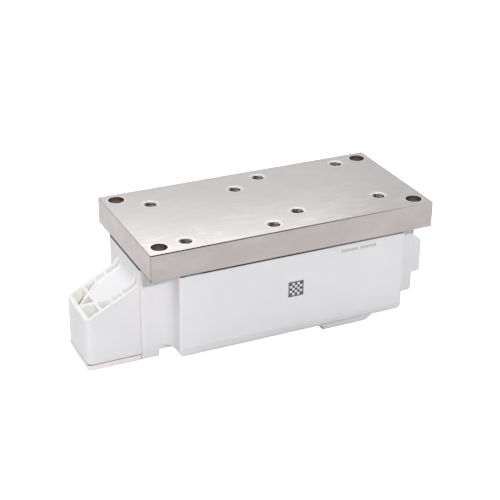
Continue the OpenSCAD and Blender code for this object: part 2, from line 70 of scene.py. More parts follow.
MM = 0.001
BODY = "root"
PLATE_LOW, PLATE_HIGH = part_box("base_plate")
PANEL_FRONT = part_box("housing")[0][1]

# Sizes of the solids that the finishes follow
CLAMP_EAR = 4.2 * MM  # from a clamp screw to the edges of its clamp plate
BAR_T = 2.8 * MM  # thickness of a copper bar
JOINT_X = 48.3 * MM  # half the length of the open joint under the plate
TAPPED_R = 2.5 * MM  # radius of a tapped hole
SINK_DEPTH = 0.49 * MM  # depth of its countersink
SQUEEZE_BAND = (-48.8 * MM, -47.5 * MM, -42.0 * MM, -40.5 * MM)  # blue sealant along X
HOLE_REACH = 4.0 * MM  # every face of a hole lies within this of its middle

# Where one finish of the plate gives way to the next
FACE_BAND = (-0.36 * MM, -0.26 * MM)  # height from the sides to the ground face
# The broken top edges carry a painted dark reflection
EDGE_BAND = (-0.40 * MM, -0.32 * MM)  # height from the sides to the broken top edge
EDGE_IN = 0.42 * MM  # from the outline in to the broken edges
EDGE_FADE = 0.08 * MM  # over which they grow dark
# The dark line along the joint is a painted shadow on the plate's lower edge
LOW_LINE = (0.24 * MM, 0.12 * MM)  # height of the dark line along the joint
LOW_LINE_END = (0.8 * MM, 0.65 * MM)  # the same at the ends of the plate
LOW_LINE_FADE = 0.3 * MM  # over which the line ends past the joint
# Rings of painted highlight round the holes
TAPPED_RING = (4.0 * MM, 3.2 * MM)  # bright rings round the holes, from outside in
DRILLED_RING = (4.2 * MM, 3.5 * MM)
# Painted shade on the wall of a hole
MOUTH_BAND = (-2.8 * MM, -0.2 * MM)  # height over which the wall of a hole darkens

# Threads in the tapped holes
TURNS, TURN_STEPS = 3, 28
THREAD_SEAT = 0.05 * MM  # how deep the thread sits in the wall
THREAD_HALF = 0.45  # half its width at the wall, as a share of the pitch

# Upward tilt by which the faces of a hole or of the tower are told apart
LEVEL, SINK, UNDERSIDE, UPRIGHT = 0.95, 0.4, -0.6, 0.3

# Shading and joining of meshes
SMOOTH = math.radians(40.0)
THREAD_SMOOTH = math.radians(30.0)
FLAT = math.radians(0.4)  # faces that differ by less become one
SAME_POINT = 1e-7

# Band of a noise that holds most of its values
MID = (0.3, 0.7)

# Print on the front panel
SQUARE_SIDE = 6.65 * MM
SQUARE_FRAME = 0.5 * MM
SQUARE_Z = -27.15 * MM
CELLS, CELL = 5, 1.1 * MM  # cells along a side, and the side of one
TICKS, TICK_GAP, TICK_PITCH = 17, 8, 0.95 * MM  # the gap takes the place of one tick
TICK_X, TICK_Z = 20.6 * MM, -14.6 * MM
TICK_SIZE = (0.5 * MM, 1.2 * MM)

# Camera that was fitted to the plate's edges and holes
CAMERA_PLACE = (-0.2142108, -0.4416265, 0.2181373)
CAMERA_TURN = (1.113846, -0.008240, -0.435141)
CAMERA_SENSOR = 36.0

# Stage, in metres: each light has its middle, then its width and height
WHITE = (1.0, 1.0, 1.0, 1.0)
FLOOR_SIZE = 8.0
# The shaded floor colour is a painted shadow under the module
FLOOR_PALE, FLOOR_SHADED = (0.84, 0.84, 0.84), (0.46, 0.46, 0.46)
SHADED_OVAL = (0.62, 1.0, 0.0)  # squeezes the oval under the module to a circle
SHADED_REACH = (0.055, 0.03)  # radius of that circle, from outside in
KEY_PLACE, KEY_TOWARD = (-0.3, -0.8, 0.6), (-0.8, -12.0, 8.2)
KEY_SPREAD = math.radians(2.5)
BACK_PANEL = ((0.35, 1.35, 0.75), (3.2, 1.0))
HOT_PANEL = ((0.52, 1.32, 0.99), (0.55, 0.5))
TOP_PANEL = ((-0.32, 0.35, 1.35), (1.9, 1.9))
ROOM = (  # with the share of the room's brightness
    ("front_wall", (0.0, -1.7, 0.8), (4.0, 1.5), 1.4),
    ("left_wall", (-1.9, -0.2, 0.8), (3.0, 1.5), 1.3),
    ("right_wall", (1.9, -0.2, 0.8), (3.0, 1.5), 1.3),
    ("corner_wall", (-1.4, 1.355, 0.8), (0.8, 1.5), 1.3),
    ("low_wall", (0.35, 1.55, 0.17), (3.4, 0.26), 1.07),
    ("ceiling", (0.0, 0.25, 1.6), (2.6, 1.5), 2.0),
)
LIT_WALL = "left_wall"  # the one wall that also lights the module


class ModuleSizes(bpy.types.PropertyGroup):
    """Sizes of the small forms that finish the solids"""

    plate_edge: bpy.props.FloatProperty(
        name="Plate edge", description="Broken edge on the plate and its holes",
        default=0.07 * MM, min=0.0, unit="LENGTH", precision=5)
    housing_edge: bpy.props.FloatProperty(
        name="Housing edge", description="Radius of the moulded edges",
        default=0.22 * MM, min=0.0, unit="LENGTH", precision=5)
    bar_edge: bpy.props.FloatProperty(
        name="Bar edge", description="Radius of the edges of the copper bars",
        default=0.3 * MM, min=0.0, unit="LENGTH", precision=5)
    thread_pitch: bpy.props.FloatProperty(
        name="Thread pitch", description="Pitch of the tapped holes",
        default=0.8 * MM, min=0.0001, unit="LENGTH", precision=5)
    thread_height: bpy.props.FloatProperty(
        name="Thread height", description="Height of the thread over the wall of its hole",
        default=0.32 * MM, min=0.0, unit="LENGTH", precision=5)
    squeeze: bpy.props.FloatProperty(
        name="Squeeze", description="How far the sealant swells towards the edge of the joint",
        default=1.2 * MM, min=0.0, unit="LENGTH", precision=5)
    ink_height: bpy.props.FloatProperty(
        name="Ink height", description="How far the print stands out of the panel",
        default=0.02 * MM, min=0.0, unit="LENGTH", precision=5)


class ModuleFinish(bpy.types.PropertyGroup):
    """Colours of the visible materials"""

    ground_nickel: bpy.props.FloatVectorProperty(
        name="Ground nickel", description="Mounting face of the base plate",
        subtype="COLOR", size=3, min=0.0, max=1.0, default=(0.72, 0.69, 0.68))
    milled_nickel: bpy.props.FloatVectorProperty(
        name="Milled nickel", description="Sides of the base plate",
        subtype="COLOR", size=3, min=0.0, max=1.0, default=(0.575, 0.532, 0.522))
    white_plastic: bpy.props.FloatVectorProperty(
        name="White plastic", description="Moulded housing",
        subtype="COLOR", size=3, min=0.0, max=1.0, default=(0.785, 0.775, 0.79))
    # Painted light: a paler copy of the white plastic for the light that shines through the thin
    # walls
    lit_rib_plastic: bpy.props.FloatVectorProperty(
        name="Thin plastic", description="Walls in the tower, which let light through",
        subtype="COLOR", size=3, min=0.0, max=1.0, default=(0.95, 0.945, 0.905))
    tinned_copper: bpy.props.FloatVectorProperty(
        name="Tinned copper", description="Power terminals",
        subtype="COLOR", size=3, min=0.0, max=1.0, default=(0.93, 0.875, 0.86))
    # Partly painted shade: the real sealant is made near-black to stand for the shadow in the
    # joint
    sealant: bpy.props.FloatVectorProperty(
        name="Sealant", description="Joint between plate and housing",
        subtype="COLOR", size=3, min=0.0, max=1.0, default=(0.022, 0.022, 0.024))
    ink: bpy.props.FloatVectorProperty(
        name="Ink", description="Printed marks on the panel",
        subtype="COLOR", size=3, min=0.0, max=1.0, default=(0.06, 0.055, 0.06))


class ModuleStage(bpy.types.PropertyGroup):
    """Floor, light and camera"""

    lens: bpy.props.FloatProperty(
        name="Lens", description="Focal length of the camera in millimetres",
        default=94.371, min=10.0)
    sky: bpy.props.FloatProperty(
        name="Sky", description="Strength of the even light from all sides",
        default=0.14, min=0.0)
    key: bpy.props.FloatProperty(
        name="Key", description="Strength of the light in front of the module",
        default=1.54, min=0.0)
    back: bpy.props.FloatProperty(
        name="Back panel", description="Power of the wide light behind the module",
        default=5.36, min=0.0, subtype="POWER")
    hot: bpy.props.FloatProperty(
        name="Hot panel", description="Power of the small light over the back panel",
        default=1.0, min=0.0, subtype="POWER")
    top: bpy.props.FloatProperty(
        name="Top panel", description="Power of the wide light above the module",
        default=19.0, min=0.0, subtype="POWER")
    room: bpy.props.FloatProperty(
        name="Room", description="Brightness of the pale room that the metal mirrors",
        default=0.5, min=0.0)
    glow: bpy.props.FloatProperty(
        name="Floor glow",
        description="How far floor and backdrop are washed out, as over a lit table",
        default=0.95, min=0.0)


def settings():
    """Sizes, finishes and stage of the open scene"""
    scene = bpy.context.scene
    return scene.module_sizes, scene.module_finish, scene.module_stage


class Finish:
    """A material under construction, with short calls for its nodes"""

    def __init__(self, name, **constants):
        self.material = bpy.data.materials.new(name)
        self.material.use_nodes = True
        self.tree = self.material.node_tree
        self.shader = self.tree.nodes["Principled BSDF"]
        for socket, value in constants.items():
            self.shader.inputs[socket.replace("_", " ")].default_value = value
        self.place = self.node("ShaderNodeTexCoord").outputs["Object"]

    def node(self, kind, **values):
        made = self.tree.nodes.new(kind)
        for name, value in values.items():
            setattr(made, name, value)
        return made

    def link(self, source, target):
        self.tree.links.new(source, target)

    def scaled(self, scale, turn=(0.0, 0.0, 0.0), shift=(0.0, 0.0, 0.0)):
        """Object coordinates, turned and scaled"""
        mapping = self.node("ShaderNodeMapping")
        mapping.inputs["Scale"].default_value = scale
        mapping.inputs["Rotation"].default_value = turn
        mapping.inputs["Location"].default_value = shift
        self.link(self.place, mapping.inputs["Vector"])
        return mapping.outputs["Vector"]

    def noise(self, scale, detail, turn=(0.0, 0.0, 0.0), shift=(0.0, 0.0, 0.0)):
        """Noise with a feature size of 1 / scale along each axis, in metres"""
        texture = self.node("ShaderNodeTexNoise")
        texture.inputs["Scale"].default_value = 1.0
        texture.inputs["Detail"].default_value = detail
        texture.inputs["Roughness"].default_value = 0.55
        self.link(self.scaled(scale, turn, shift), texture.inputs["Vector"])
        return texture.outputs["Fac"]

    def ramp(self, source, low, high, a=0.0, b=1.0):
        """source from low to high, spread over a to b"""
        spread = self.node("ShaderNodeMapRange", clamp=True)
        values = (("From Min", low), ("From Max", high), ("To Min", a), ("To Max", b))
        for name, value in values:
            spread.inputs[name].default_value = value
        self.link(source, spread.inputs["Value"])
        return spread.outputs["Result"]

    def math(self, operation, a, b=None):
        """One step of arithmetic on numbers or sockets"""
        made = self.node("ShaderNodeMath", operation=operation)
        for socket, value in zip(made.inputs, (a, b)):
            if isinstance(value, (int, float)):
                socket.default_value = value
            elif value is not None:
                self.link(value, socket)
        return made.outputs["Value"]

    def axis(self, letter):
        """One object coordinate, in metres"""
        split = self.node("ShaderNodeSeparateXYZ")
        self.link(self.place, split.inputs["Vector"])
        return split.outputs[letter]

    def mix(self, share, a, b):
        """Colour a under colour b by share"""
        made = self.node("ShaderNodeMix", data_type="RGBA", blend_type="MIX")
        colours = [s for s in made.inputs if s.type == "RGBA"]
        sockets = (made.inputs[0], *colours[:2])
        for socket, value in zip(sockets, (share, a, b)):
            if isinstance(value, bpy.types.NodeSocket):
                self.link(value, socket)
            elif isinstance(value, (int, float)):
                socket.default_value = value
            else:
                socket.default_value = (*tuple(value)[:3], 1.0)
        return [s for s in made.outputs if s.type == "RGBA"][0]

    def bump(self, height, distance, strength=0.5):
        made = self.node("ShaderNodeBump")
        made.inputs["Strength"].default_value = strength
        made.inputs["Distance"].default_value = distance
        self.link(height, made.inputs["Height"])
        self.link(made.outputs["Normal"], self.shader.inputs["Normal"])

    def colour(self, source):
        self.link(source, self.shader.inputs["Base Color"])

    def rough(self, source):
        self.link(source, self.shader.inputs["Roughness"])


def tone(colour, factor):
    """The colour, paler or darker by a factor"""
    return tuple(min(1.0, c * factor) for c in colour)


def nickel_finish(finish):
    """Ground mounting face and milled sides, with painted dark reflection on the broken edges,
    painted shade on the corners, a painted shadow line along the joint and painted highlights
    round the holes
    """
    m = Finish("nickel_plate")
    x, y, z = m.axis("X"), m.axis("Y"), m.axis("Z")
    nickel, milled = finish.ground_nickel, finish.milled_nickel
    top = m.ramp(z, *FACE_BAND)
    lines = m.noise((110.0, 5200.0, 900.0), detail=3.0)
    mill = m.noise((2600.0, 2600.0, 160.0), detail=3.0)
    body = m.mix(top, milled_side(m, milled, mill), ground_face(m, nickel, lines, y))
    # Painted highlight round the holes on the ground face
    ring = m.math("MULTIPLY", top, painted_hole_highlights(m, x, y))
    body = m.mix(ring, body, tone(nickel, 1.3))
    m.colour(plate_edges(m, body, milled, x, y, z))
    satin = m.noise((90.0, 900.0, 200.0), detail=3.0)
    top_rough = m.math("MULTIPLY", top, m.ramp(satin, *MID, 0.145, 0.175))
    side = m.math("SUBTRACT", 1.0, top)
    side_rough = m.math("MULTIPLY", side, m.ramp(satin, *MID, 0.27, 0.37))
    m.rough(m.math("ADD", top_rough, side_rough))
    grain = m.math("ADD", m.math("MULTIPLY", lines, 0.4), m.math("MULTIPLY", mill, 0.6))
    m.bump(grain, 0.006 * MM)
    return m.material


def ground_face(m, nickel, lines, y):
    """Fine ground lines and haze, with rubbed marks towards the front"""
    haze = m.noise((26.0, 34.0, 30.0), detail=3.0, shift=(0.3, 0.1, 0.0))
    wipe = m.noise((95.0, 230.0, 40.0), detail=4.0, turn=(0.0, 0.0, 0.6), shift=(1.7, 0.4, 0.0))
    face = m.mix(m.ramp(haze, 0.35, 0.7), tone(nickel, 0.97), tone(nickel, 1.02))
    front = m.ramp(y, 4.0 * MM, -20.0 * MM, 0.15, 0.8)
    rubbed = m.math("MULTIPLY", m.ramp(wipe, 0.5, 0.72), front)
    face = m.mix(rubbed, face, tone(nickel, 1.14))
    return m.mix(m.ramp(lines, 0.42, 0.75, 0.0, 0.14), face, tone(nickel, 0.9))


def milled_side(m, milled, mill):
    """Soft patches under upright mill marks"""
    patch = m.noise((38.0, 60.0, 110.0), detail=3.0, shift=(0.9, 0.0, 0.2))
    side = m.mix(m.ramp(patch, 0.38, 0.66), tone(milled, 0.95), tone(milled, 1.08))
    return m.mix(m.ramp(mill, 0.4, 0.75, 0.0, 0.2), side, tone(milled, 0.8))


def plate_edges(m, body, milled, x, y, z):
    """Painted dark reflection on the long top edges, dark on the left and dull on the right,
    painted shade on the corners and a painted shadow line on the lower edges
    """
    def outer(value, half):
        inner = m.math("SUBTRACT", m.math("ABSOLUTE", value), half - EDGE_IN)
        return m.ramp(inner, 0.0, EDGE_FADE)

    ends, sides = outer(x, PLATE_HIGH[0]), outer(y, PLATE_HIGH[1])
    # Painted dark reflection along the long top edges, fading to the right and broken into patches
    high = m.ramp(z, *EDGE_BAND)
    dull = m.math("MULTIPLY", high, m.ramp(x, 0.0, PLATE_HIGH[0], 0.0, 0.65))
    metal = m.math("SUBTRACT", 1.0, m.math("MULTIPLY", dull, sides))
    m.link(metal, m.shader.inputs["Metallic"])
    faded = m.math("MULTIPLY", sides, m.ramp(x, PLATE_LOW[0], PLATE_HIGH[0], 1.0, 0.1))
    patchy_reflection = m.ramp(m.noise((700.0, 700.0, 700.0), detail=2.0), 0.35, 0.6, 0.7, 1.0)
    high = m.math("MULTIPLY", m.math("MULTIPLY", high, faded), patchy_reflection)
    # Painted shade darkens the upright corners
    corner = m.math("MULTIPLY", m.math("MULTIPLY", sides, ends), 0.6)
    # Painted shadow line on the lower edges along the joint and at the ends
    along = m.ramp(m.math("ABSOLUTE", x), JOINT_X + LOW_LINE_FADE, JOINT_X)
    low = m.ramp(z, *(PLATE_LOW[2] + rise for rise in LOW_LINE))
    low = m.math("MULTIPLY", m.math("MULTIPLY", low, along), sides)
    low_end = m.ramp(z, *(PLATE_LOW[2] + rise for rise in LOW_LINE_END))
    low = m.math("MAXIMUM", low, m.math("MULTIPLY", low_end, ends))
    # Colours of the painted edge reflection and of the painted joint shadow
    painted_edge_reflection, painted_joint_shadow = (0.06, 0.051, 0.047), (0.05, 0.045, 0.045)
    body = m.mix(corner, body, tone(milled, 0.5))
    return m.mix(low, m.mix(high, body, painted_edge_reflection), painted_joint_shadow)


def painted_hole_highlights(m, x, y):
    """Narrow ring of painted highlight round each hole"""
    def folded(value, middle, half):
        away = m.math("ABSOLUTE", m.math("SUBTRACT", value, middle))
        return m.math("SUBTRACT", away, half)

    def ring(across, along, band):
        square = m.math("ADD", m.math("POWER", across, 2.0), m.math("POWER", along, 2.0))
        return m.ramp(m.math("SQRT", square), *band)

    low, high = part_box("clamp_plate_2")
    middle = [(a + b) / 2 for a, b in zip(low, high)]
    half = [(b - a) / 2 - CLAMP_EAR for a, b in zip(low, high)]
    across = folded(m.math("ABSOLUTE", x), middle[0], half[0])
    turned = m.math("MULTIPLY", y, m.math("SIGN", x))
    along = folded(turned, middle[1], half[1])
    tapped = ring(across, along, TAPPED_RING)
    mount_x, mount_y = max(mount_centres())
    drilled = ring(folded(x, 0.0, mount_x), folded(y, 0.0, mount_y), DRILLED_RING)
    return m.math("MULTIPLY", m.math("MAXIMUM", tapped, drilled), 0.85)


def sink_finish(finish):
    """Countersinks of the tapped holes, freshly cut and bright"""
    m = Finish("nickel_sink", Metallic=0.6)
    rings = m.noise((1200.0, 1200.0, 1200.0), detail=2.0)
    nickel = finish.ground_nickel
    m.colour(m.mix(m.ramp(rings, *MID), tone(nickel, 1.05), tone(nickel, 1.25)))
    m.rough(m.ramp(rings, *MID, 0.38, 0.5))
    m.bump(rings, 0.01 * MM)
    return m.material


def bore_finish(name, dark, light, rough, shade):
    """Wall of a hole with the rings that its tool left, darker towards its mouth through painted
    shade
    """
    m = Finish(name, Metallic=1.0)
    rings = m.noise((900.0, 900.0, 5200.0), detail=2.0)
    # Painted shade: the wall darkens towards the mouth of the hole
    mouth = m.ramp(m.axis("Z"), *MOUTH_BAND, 0.0, shade)
    wall = m.mix(m.ramp(rings, 0.35, 0.7), dark, light)
    m.colour(m.mix(mouth, wall, tone(dark, 0.12)))
    m.rough(m.ramp(rings, *MID, rough - 0.08, rough + 0.08))
    m.bump(rings, 0.03 * MM)
    return m.material


def plastic_finish(name, white):
    """Glass-filled white plastic, with a fine moulded grain"""
    m = Finish(name, IOR=1.5, Subsurface_Weight=0.3, Subsurface_Scale=1.5 * MM)
    m.shader.inputs["Subsurface Radius"].default_value = (1.0, 0.95, 0.85)
    cloud = m.noise((60.0, 60.0, 45.0), detail=3.0)
    flow = m.noise((30.0, 30.0, 240.0), detail=4.0, shift=(0.2, 0.5, 0.7))
    body = m.mix(m.ramp(cloud, *MID), tone(white, 0.975), tone(white, 1.015))
    body = m.mix(m.ramp(flow, 0.5, 0.8, 0.0, 0.4), body, tone(white, 0.955))
    speck = m.noise((1500.0, 1500.0, 1500.0), detail=1.0)
    glass = (0.62, 0.60, 0.59)
    m.colour(m.mix(m.ramp(speck, 0.70, 0.78, 0.0, 0.25), body, glass))
    m.rough(m.ramp(m.noise((300.0, 300.0, 300.0), detail=2.0), *MID, 0.40, 0.52))
    m.bump(m.noise((4200.0, 4200.0, 4200.0), detail=2.0), 0.01 * MM, strength=0.35)
    return m.material


def copper_finish(finish):
    """Tinned bars with dull cut edges, the copper showing through and a painted shadow line along
    the top of the pads
    """
    m = Finish("tinned_bar")
    z = m.axis("Z")
    tilt = m.node("ShaderNodeSeparateXYZ")
    m.link(m.node("ShaderNodeNewGeometry").outputs["Normal"], tilt.inputs["Vector"])
    flat = m.math("ABSOLUTE", tilt.outputs["Z"])
    metal = m.ramp(flat, 0.3, 0.7, 0.15, 1.0)  # upright cut edges are dull
    m.link(metal, m.shader.inputs["Metallic"])
    patch = m.noise((90.0, 90.0, 160.0), detail=4.0)
    grain = m.noise((400.0, 3600.0, 3600.0), detail=3.0)
    tin, thin_tin, painted_gap_shadow = (0.92, 0.88, 0.87), (0.74, 0.64, 0.60), (0.16, 0.11, 0.10)
    body = m.mix(m.ramp(patch, 0.35, 0.7), tone(finish.tinned_copper, 0.94), tin)
    body = m.mix(m.ramp(grain, 0.45, 0.8, 0.0, 0.3), body, thin_tin)
    # Painted shadow line along the top of the pads, where the housing sits on them
    pad_top = CAD_BOX[0][2] + BAR_T
    rising = m.ramp(z, pad_top - 0.38 * MM, pad_top - 0.25 * MM)
    edge = m.math("MULTIPLY", rising, m.ramp(z, pad_top + 0.1 * MM, pad_top))
    m.colour(m.mix(edge, body, painted_gap_shadow))
    m.rough(m.ramp(grain, *MID, 0.30, 0.46))
    m.bump(grain, 0.012 * MM)
    return m.material


def sealant_finish(finish):
    """Cured sealant, near-black as painted shadow of the joint, blue near the tower and paler
    towards the right end, where that painted shadow thins
    """
    m = Finish("cured_sealant")
    lump = m.noise((320.0, 320.0, 320.0), detail=3.0)
    x = m.axis("X")
    start, full, fading, end = SQUEEZE_BAND
    squeeze = m.math("MULTIPLY", m.ramp(x, start, full), m.ramp(x, end, fading))
    blue, pale = (0.12, 0.20, 0.235), (0.26, 0.25, 0.25)
    body = m.mix(m.ramp(lump, *MID), tone(finish.sealant, 0.7), tone(finish.sealant, 1.4))
    body = m.mix(m.ramp(x, 0.0, JOINT_X, 0.0, 0.8), body, pale)
    m.colour(m.mix(squeeze, body, blue))
    m.rough(m.ramp(lump, *MID, 0.35, 0.6))
    m.bump(lump, 0.15 * MM, strength=0.6)
    return m.material


def mottled_finish(name, light, dark, scale, rough, metal=0.0):
    """Two close tones in a soft mottle"""
    m = Finish(name, Metallic=metal)
    cloud = m.noise((scale, scale, scale), detail=4.0)
    m.colour(m.mix(m.ramp(cloud, *MID), dark, light))
    m.rough(m.ramp(cloud, *MID, rough - 0.06, rough + 0.06))
    fine = 6.0 * scale
    m.bump(m.noise((fine, fine, fine), detail=2.0), 0.01 * MM)
    return m.material


def deselect():
    if bpy.context.object and bpy.context.object.mode != "OBJECT":
        bpy.ops.object.mode_set(mode="OBJECT")
    bpy.ops.object.select_all(action="DESELECT")


def activate(piece):
    deselect()
    piece.select_set(True)
    bpy.context.view_layer.objects.active = piece


def apply_modifier(piece, kind, **values):
    activate(piece)
    modifier = piece.modifiers.new(kind.title(), kind)
    for name, value in values.items():
        setattr(modifier, name, value)
    bpy.ops.object.modifier_apply(modifier=modifier.name)


def merged_copy(node, name):
    """A copy of a solid with its triangles joined into whole faces"""
    source = frame["nodes"][node]
    piece = bpy.data.objects.new(name, source.data.copy())
    bpy.context.scene.collection.objects.link(piece)
    piece.data.materials.clear()
    piece.data.attributes.active = None
    activate(piece)
    bpy.ops.object.mode_set(mode="EDIT")
    bpy.ops.mesh.select_all(action="SELECT")
    bpy.ops.mesh.customdata_custom_splitnormals_clear()
    bpy.ops.mesh.remove_doubles(threshold=SAME_POINT)
    bpy.ops.mesh.dissolve_limited(angle_limit=FLAT)
    bpy.ops.object.mode_set(mode="OBJECT")
    return piece


def eased(piece, width, angle=32.0):
    """Rounds the sharp edges and shades the rest smooth"""
    apply_modifier(
        piece, "BEVEL", width=width, segments=2, limit_method="ANGLE",
        angle_limit=math.radians(angle), use_clamp_overlap=True, harden_normals=False,
        miter_outer="MITER_ARC")
    activate(piece)
    bpy.ops.object.shade_smooth_by_angle(angle=SMOOTH)
    apply_modifier(piece, "WEIGHTED_NORMAL", keep_sharp=True, weight=80)


def placed(piece, slot, *nodes):
    """Fixes a piece to the module, in place of the solids it stands for"""
    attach(piece, BODY)
    if nodes:
        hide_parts(*nodes)


def paint(piece, *materials):
    piece.data.materials.clear()
    for material in materials:
        piece.data.materials.append(material)


def hole_walls(piece, centres, wall, sink):
    """Gives the walls and countersinks of upright holes materials of their own"""
    for face in piece.data.polygons:
        if not UNDERSIDE <= face.normal.z <= LEVEL:
            continue
        for x, y in centres:
            if math.hypot(face.center.x - x, face.center.y - y) < HOLE_REACH:
                face.material_index = sink if face.normal.z > SINK else wall


def mount_centres():
    """Centres of the mounting holes, from the record"""
    for mount in frame["record"]["mounts"]:
        if mount["kind"] == "bolt_pattern":
            half_x = mount["dims"]["spacing_x_mm"] * MM / 2
            half_y = mount["dims"]["spacing_y_mm"] * MM / 2
            return [(sx * half_x, sy * half_y) for sx in (-1, 1) for sy in (-1, 1)]
    raise RuntimeError("the record has no hole pattern")


def screw_centres():
    """Centres of the tapped holes, from the four screws round each clamp plate"""
    centres = []
    for node in ("clamp_plate_1", "clamp_plate_2"):
        low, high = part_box(node)
        for x in (low[0] + CLAMP_EAR, high[0] - CLAMP_EAR):
            for y in (low[1] + CLAMP_EAR, high[1] - CLAMP_EAR):
                centres.append((x, y))
    return centres


class MODULE_OT_base_plate(bpy.types.Operator):
    """Ground and milled plate with eased edges"""

    bl_idname = "module.base_plate"
    bl_label = "Base plate"

    def execute(self, context):
        sizes, finish, _ = settings()
        plate = merged_copy("base_plate", "plate_ground")
        eased(plate, sizes.plate_edge, angle=28.0)
        drilled = bore_finish(
            "drilled_bore", (0.50, 0.42, 0.37), (0.70, 0.605, 0.545), rough=0.46, shade=0.75)
        # The tapped bore's near-black colours are painted shade in the narrow holes
        tapped = bore_finish(
            "tapped_bore", (0.12, 0.114, 0.11), (0.20, 0.19, 0.185), rough=0.3, shade=0.8)
        paint(plate, nickel_finish(finish), drilled, sink_finish(finish), tapped)
        hole_walls(plate, mount_centres(), wall=1, sink=1)
        hole_walls(plate, screw_centres(), wall=3, sink=2)
        placed(plate, "plated_copper", "base_plate")
        return {"FINISHED"}


class MODULE_OT_housing(bpy.types.Operator):
    """White moulding with rounded edges"""

    bl_idname = "module.housing"
    bl_label = "Housing"

    def execute(self, context):
        sizes, finish, _ = settings()
        housing = merged_copy("housing", "housing_moulded")
        eased(housing, sizes.housing_edge, angle=24.0)
        thick = plastic_finish("white_housing", finish.white_plastic)
        # The tower's thin walls get a paler copy of the plastic as painted light
        thin = plastic_finish("white_ribs", finish.lit_rib_plastic)
        paint(housing, thick, thin)
        self.tower_cells(housing)
        placed(housing, "white_plastic", "housing")
        return {"FINISHED"}

    def tower_cells(self, housing):
        """Gives the thin upright walls inside the tower the paler material, which paints in the
        light that comes through them
        """
        tower = [face for face in housing.data.polygons if face.center.x < PLATE_LOW[0]]
        margin = 0.9 * MM
        west = min(face.center.x for face in tower) + margin
        south = min(face.center.y for face in tower) + margin
        north = max(face.center.y for face in tower) - margin
        for face in tower:
            inside = face.center.x > west and south < face.center.y < north
            if inside and abs(face.normal.z) < UPRIGHT:
                face.material_index = 1


class MODULE_OT_terminals(bpy.types.Operator):
    """Copper bars with eased edges"""

    bl_idname = "module.terminals"
    bl_label = "Power terminals"

    def execute(self, context):
        sizes, finish, _ = settings()
        copper = copper_finish(finish)
        for node in ("common_bar", "cathode_bar", "anode_bar"):
            bar = merged_copy(node, node + "_tinned")
            eased(bar, sizes.bar_edge)
            paint(bar, copper)
            placed(bar, "tinned_copper", node)
        return {"FINISHED"}


class MODULE_OT_sealant(bpy.types.Operator):
    """Sealant squeezed out to the edge of the joint, so that its dark tone also paints the joint's
    shadow
    """

    bl_idname = "module.sealant"
    bl_label = "Sealant"

    def execute(self, context):
        sizes, finish, _ = settings()
        bead = merged_copy("seal_bead", "seal_squeezed")
        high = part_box("seal_bead")[1]
        grown = [(reach + sizes.squeeze) / reach for reach in high[:2]]
        bead.data.transform(Matrix.Diagonal((*grown, 1.0, 1.0)))
        activate(bead)
        bpy.ops.object.shade_smooth_by_angle(angle=SMOOTH)
        paint(bead, sealant_finish(finish))
        placed(bead, "sealant", "seal_bead")
        return {"FINISHED"}


class MODULE_OT_inner_pieces(bpy.types.Operator):
    """Materials of the solids that stay as they are"""

    bl_idname = "module.inner_pieces"
    bl_label = "Inner pieces"

    def execute(self, context):
        zinc = mottled_finish(
            "zinc_steel", (0.62, 0.61, 0.59), (0.44, 0.43, 0.42), 420.0, 0.36, metal=1.0)
        brass = mottled_finish(
            "tinned_brass", (0.74, 0.70, 0.62), (0.60, 0.55, 0.46), 500.0, 0.34, metal=1.0)
        finishes = {
            "terminal_nuts": zinc, "clamp_screws": zinc,
            "control_tabs": brass, "gate_pin": brass,
            "ceramic_disc": mottled_finish(
                "ceramic", (0.90, 0.88, 0.82), (0.84, 0.81, 0.74), 300.0, 0.5),
            "thyristor_cell": mottled_finish(
                "lapped_silicon", (0.42, 0.43, 0.46), (0.33, 0.34, 0.37), 200.0, 0.22, metal=1.0),
            "centring_ring": mottled_finish(
                "ring_plastic", (0.80, 0.74, 0.58), (0.72, 0.65, 0.48), 260.0, 0.5),
            "pressure_cup": mottled_finish(
                "cup_plastic", (0.62, 0.50, 0.36), (0.52, 0.41, 0.28), 260.0, 0.5),
            "spring_pair": mottled_finish(
                "spring_steel", (0.42, 0.43, 0.46), (0.30, 0.31, 0.34), 300.0, 0.3, metal=1.0),
            "clamp_plate": mottled_finish(
                "clamp_steel", (0.55, 0.55, 0.55), (0.42, 0.42, 0.43), 220.0, 0.4, metal=1.0),
            "gate_lead": mottled_finish(
                "white_lead", (0.88, 0.88, 0.86), (0.80, 0.80, 0.77), 600.0, 0.5),
            "cathode_lead": mottled_finish(
                "red_lead", (0.60, 0.09, 0.07), (0.48, 0.06, 0.05), 600.0, 0.5),
        }
        for name, node in frame["nodes"].items():
            key = name[:-2] if name[-2:] in ("_1", "_2") else name
            if key in finishes:
                paint(node, finishes[key])
        return {"FINISHED"}


